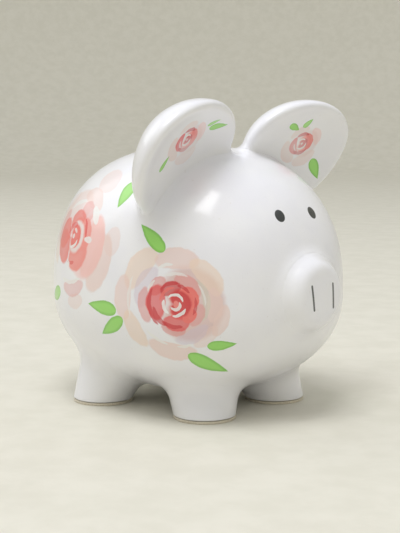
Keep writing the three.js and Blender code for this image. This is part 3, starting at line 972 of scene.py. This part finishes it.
RUMP_ROSE = [
    (-15, 60, 15, 17, "light", 0.6), (110, 60, 12, 16, "blush", 0.6),
    (70, 16, 36, 7, "blush", 0.5), (2, 12, 38, 6, "blush", 0.45), (-78, 14, 36, 4, "blush", 0.5),
    (180, 40, 26, 6, "peach", 0.5), (135, 20, 27, 4, "blush", 0.4),
    (68, 28, 25, 5, "blush", 0.65), (-22, 30, 33, 8, "blush", 0.75),
    (-10, 45, 24, 8, "light", 0.85), (60, 25, 17.5, 5, "pink", 0.7),
    (-80, 24, 29, 4.5, "pink", 0.55), (165, 30, 20, 5, "pink", 0.6),
    (38, 16, 22.5, 2.6, "white", 0.9), (108, 24, 20.5, 1.3, "white", 0.9),
    (-85, 26, 25.5, 1.2, "white", 0.9), (0, 180, 0, 14, "rosy", 1),
    (-150, 45, 12, 9, "coral", 0.9), (-50, 50, 11.5, 9.5, "rosy", 1),
    (80, 55, 8, 7.5, "coral", 0.85), (10, 40, 13, 6, "rosy", 0.9), (175, 40, 12, 8, "coral", 0.9),
    (25, 24, 14, 1, "red", 0.8), (-85, 16, 15, 1, "red", 0.7), (0, 180, 0, 11.8, "white", 0.8),
    (0, 180, 0, 8.6, "coral", 1), (120, 50, 6.5, 1.6, "red", 0.7), (0, 180, 0, 1.8, "white", 0.9),
    (60, 30, 4, 1, "white", 0.8), (-62, 45, 6, 0.9, "white", 0.95), (-1, 6, 17, 4, "white", 0.9),
    (-95, 5, 15.8, 1.8, "white", 0.9),
]
FLOWERS = [((46.3, -66.7, 68.0), SHOULDER_ROSE), ((-34.9, -62.4, 97.4), RUMP_ROSE)]
LEAVES = [  # (forwards of the body's centre, sideways, height), lean, length, width
    ((1.9, -57.2, 121.4), -100, 17.6, 10), ((29.7, -65.9, 101.1), 141, 22, 8),
    ((-3, -71.7, 61.9), 177, 24.6, 8.5), ((4.1, -70.8, 52), -150, 22.8, 8),
    ((54, -49, 35.7), -34, 25.6, 10), ((63.8, -49.8, 46.6), 5, 15.6, 6.4),
    ((-56, -54, 62), 200, 22, 8.5),
]


def mirrored(place_mm):
    """The place with its distance from the spine turned to the right side."""
    split = place_mm.node("ShaderNodeSeparateXYZ", {}, {0: place_mm})
    outputs = split.socket.node.outputs
    x, y, z = (Term(place_mm.tree, outputs[k]) for k in range(3))
    return place_mm.node("ShaderNodeCombineXYZ", {}, {0: x, 1: 0 - y.abs(), 2: z})


EYE = (72.6, -13.96, 111.5)
EYE_HALF_HEIGHT, EYE_HALF_WIDTH, EYE_LEAN = 3.6, 3.4, math.radians(80)


def eye(colour, place_mm):
    """A filled oval: the two squared distances over its half-axes add up to less than 1."""
    across, upward, depth = flat_position(place_mm, *on_body(EYE), 0)
    u = (across * math.cos(EYE_LEAN) + upward * math.sin(EYE_LEAN)) * (1 / EYE_HALF_HEIGHT)
    v = (upward * math.cos(EYE_LEAN) - across * math.sin(EYE_LEAN)) * (1 / EYE_HALF_WIDTH)
    inside = (u * u + v * v).ramp(0.9, 1.08, 1, 0)
    return colour.mix(paints["ink"], inside * depth.ramp(4, 5, 1, 0))


def body_glaze():
    material, shader, place_mm, colour = glaze_base("glaze_with_roses")
    right = mirrored(place_mm)
    for spot, listed in FLOWERS:
        across, upward, depth = flat_position(right, *on_body(spot), 1.8)
        colour = colour.mix(strokes(colour, across, upward, listed), depth.ramp(30, 34, 1, 0))
    for spot, lean, length, width in LEAVES:
        colour = leaf(colour, right, *on_body(spot), lean, length, width)
    connect(shader, Base_Color=eye(colour, right))
    return material


body.data.materials.append(body_glaze())
print("body painted")

# %% [markdown]
# ## Nostrils, ears and plain glaze
#
# Two short upright lines stand for nostrils. Each ear has its own small rose in the cup.

# %% Snout paint
NOSTRILS = [(-8.6, 68.8, -0.17), (9.1, 68.5, -0.07)]  # middle across, its height, lean
NOSTRIL_HALF_LENGTH, NOSTRIL_HALF_WIDTH = 6.4, 0.72


def snout_glaze():
    material, shader, place_mm, colour = glaze_base("glaze_with_nostrils")
    front = place_mm.dot((1, 0, 0)).ramp(SNOUT_END - 6, SNOUT_END - 5)
    for middle, height, lean in NOSTRILS:
        upward = place_mm.dot((0, 0, 1)) - height
        across = place_mm.dot((0, 1, 0)) - middle - upward * lean
        past_end = (upward.abs() - NOSTRIL_HALF_LENGTH).most(0.0)
        away = (across * across + past_end * past_end).root()
        line = away.ramp(NOSTRIL_HALF_WIDTH - 0.15, NOSTRIL_HALF_WIDTH + 0.15, 0.92, 0)
        colour = colour.mix(paints["ink"], line * front)
    connect(shader, Base_Color=colour)
    return material


snout.data.materials.append(snout_glaze())

# %% Ear paint
EAR_ROSE = [
    (0, 180, 0, 12, "mist", 0.4), (215, 45, 11, 4, "blush", 0.6), (-60, 40, 12, 4, "blush", 0.5),
    (30, 35, 11, 3, "light", 0.5), (120, 40, 10, 2.5, "blush", 0.5), (0, 180, 0, 7.2, "rosy", 1),
    (200, 60, 6, 2.6, "red", 0.9), (20, 60, 6, 2.4, "coral", 0.9),
    (100, 40, 6.4, 1.2, "deep", 0.8), (-80, 50, 6.3, 1.2, "deep", 0.8),
    (0, 180, 0, 4.4, "deep", 0.9), (-60, 70, 3.4, 0.7, "white", 0.95),
    (110, 60, 2.9, 0.6, "white", 0.95), (0, 180, 0, 0.9, "white", 0.9),
    (215, 30, 5.2, 0.6, "white", 0.8),
]
EAR_PAINT_DEPTH = 5.5  # the brush reaches no further behind the flat side
EAR_PAINT = {  # rose (level, upwards), leaves as (base, tip, width, paint)
    "right": ((-5.1, 5.2), [
        ((10.4, 12.3), (24.1, 15.5), 4.4, "leaf"), ((7.4, 13.9), (15.6, 18.3), 2.6, "leaf_pale"),
        ((-18.5, -13.1), (-15.1, -3.7), 3.8, "leaf"),
    ]),
    "left": ((4.1, 0.8), [
        ((-11.3, 13.9), (-2.0, 9.9), 4.6, "leaf"), ((0.2, 11.8), (4.5, 18.0), 4.2, "leaf_pale"),
        ((16.6, -9.4), (25.8, -22.3), 7, "leaf"),
    ]),
}


def ear_glaze(side_name):
    material, shader, place_mm, colour = glaze_base(f"glaze_ear_{side_name}")
    middle, axes = ear_frame(sides[side_name])
    spot, leaves = EAR_PAINT[side_name]
    centre = middle + np.array(spot) @ axes[:2]
    across, upward, depth = flat_position(place_mm, centre, axes, 1.4)
    flower = strokes(colour, across, upward, EAR_ROSE)
    colour = colour.mix(flower, depth.ramp(EAR_PAINT_DEPTH - 1, EAR_PAINT_DEPTH, 1, 0))
    for base, tip, width, paint in leaves:
        reach = np.subtract(tip, base)
        centre = middle + (np.add(base, tip) / 2) @ axes[:2]
        lean = math.degrees(math.atan2(reach[1], reach[0]))
        length = math.hypot(*reach)
        colour = leaf(colour, place_mm, centre, axes, lean, length, width, paint, EAR_PAINT_DEPTH)
    connect(shader, Base_Color=colour)
    return material


for side_name in sides:
    ears[side_name].data.materials.append(ear_glaze(side_name))

# %% Plain glaze for legs and tail
plain, shader, _, colour = glaze_base("glaze_plain")
connect(shader, Base_Color=colour)
for piece in (*legs, tail):
    piece.data.materials.append(plain)

# %% [markdown]
# ## Felt and rubber
#
# Felt is matted fibre: fine tufts in colour and height, with a few darker strands. The rubber is
# cloudy white, matt from the mould, with a slight orange-peel skin.

# %% Felt
def felt():
    material, shader, place_mm = new_material("cream_felt", Specular_IOR_Level=0.2, Sheen_Weight=0.3)
    tufts = place_mm.noise(1.6, 4, 0.65)
    strands = place_mm.moved((0.5, 2.4, 2.4)).noise(1.1, 2).ramp(0.62, 0.7)
    cream = tufts.ramp(0.3, 0.7).between(pigment(208, 198, 178), pigment(232, 225, 208))
    cream = cream.mix(pigment(176, 163, 138), strands * 0.4)
    connect(shader, Base_Color=cream, Normal=tufts.bump(0.7, 0.0003),
            Roughness=tufts.ramp(0.2, 0.8, 0.85, 1.0))
    return material


felt_material = felt()
for pad in pads:
    pad.data.materials.append(felt_material)

# %% Rubber
def rubber():
    material, shader, place_mm = new_material(
        "cloudy_rubber", Specular_IOR_Level=0.4, Subsurface_Weight=0.15,
    )
    cloud = place_mm.noise(0.12, 3)
    tone = cloud.ramp(0.3, 0.7).between(pigment(214, 211, 203), pigment(226, 224, 217))
    dust = place_mm.noise(0.7, 5, 0.7).ramp(0.6, 0.75) * 0.25
    connect(shader, Base_Color=tone.mix(pigment(190, 184, 172), dust),
            Normal=place_mm.noise(2.4, 2).bump(0.5, 0.0001),
            Roughness=cloud.ramp(0.3, 0.7, 0.5, 0.62))
    return material


stopper.data.materials.append(rubber())

# %% [markdown]
# ## Floor and light
#
# The pig stands on a pale floor that runs up into a wall all round, so no edge shows from any side.
# The light is a soft square high up in front, a weaker window on the left, and a bright room around.

# %% Floor
FLOOR_RADIUS, COVE_RADIUS, WALL_HEIGHT = 2600, 900, 2600


def make_floor():
    bend = np.radians(np.linspace(0, 90, 24))
    profile = [(radius, 0) for radius in (60, 200, 600, 1500)]
    profile += [(FLOOR_RADIUS + COVE_RADIUS * math.sin(a), COVE_RADIUS * (1 - math.cos(a)))
                for a in bend]
    profile.append((FLOOR_RADIUS + COVE_RADIUS, WALL_HEIGHT))
    rings = turned(profile, [0, 0], 96)
    floor = surface("studio_floor", rings, np.zeros(3))
    if floor.data.polygons[0].normal.z < 0:
        floor.data.flip_normals()
    material, shader, place_mm = new_material("pale_floor", Specular_IOR_Level=0.2)
    grain = place_mm.noise(0.04, 4, 0.6)
    tone = grain.ramp(0.3, 0.7).between(pigment(219, 216, 203), pigment(225, 222, 210))
    connect(shader, Base_Color=tone, Roughness=grain.ramp(0.2, 0.8, 0.75, 0.9))
    floor.data.materials.append(material)
    see_through = grain.node("ShaderNodeBsdfTransparent", {}, {})
    from_below = grain.node("ShaderNodeNewGeometry", {}, {}, "Backfacing")
    shown = Term(grain.tree, shader.outputs[0])
    mixed = grain.node("ShaderNodeMixShader", {}, {0: from_below, 1: shown, 2: see_through})
    connect(grain.tree.nodes["Material Output"], Surface=mixed)


make_floor()

# %% Light
def soft_light(name, position, size, power, colour):
    """A square light of a size in metres that looks at the pig's middle."""
    data = bpy.data.lights.new(name, "AREA")
    data.size, data.energy, data.color = size, power, colour
    lamp = bpy.data.objects.new(name, data)
    lamp.location = position
    target = Vector((0, 0, 0.08))
    lamp.rotation_euler = (target - lamp.location).to_track_quat("-Z", "Y").to_euler()
    bpy.context.scene.collection.objects.link(lamp)


soft_light("ceiling", (0.2, -0.6, 2.1), 1.0, 21, (0.98, 0.985, 1.0))
soft_light("window", (-1.9, -0.5, 1.3), 1.2, 6, (0.95, 0.975, 1.0))
world = bpy.data.worlds.new("room")
world.use_nodes = True
background = world.node_tree.nodes["Background"]
background.inputs["Color"].default_value = (0.95, 0.965, 1.0, 1)
background.inputs["Strength"].default_value = 0.8
bpy.context.scene.world = world
bpy.context.scene.view_settings.view_transform = "Standard"
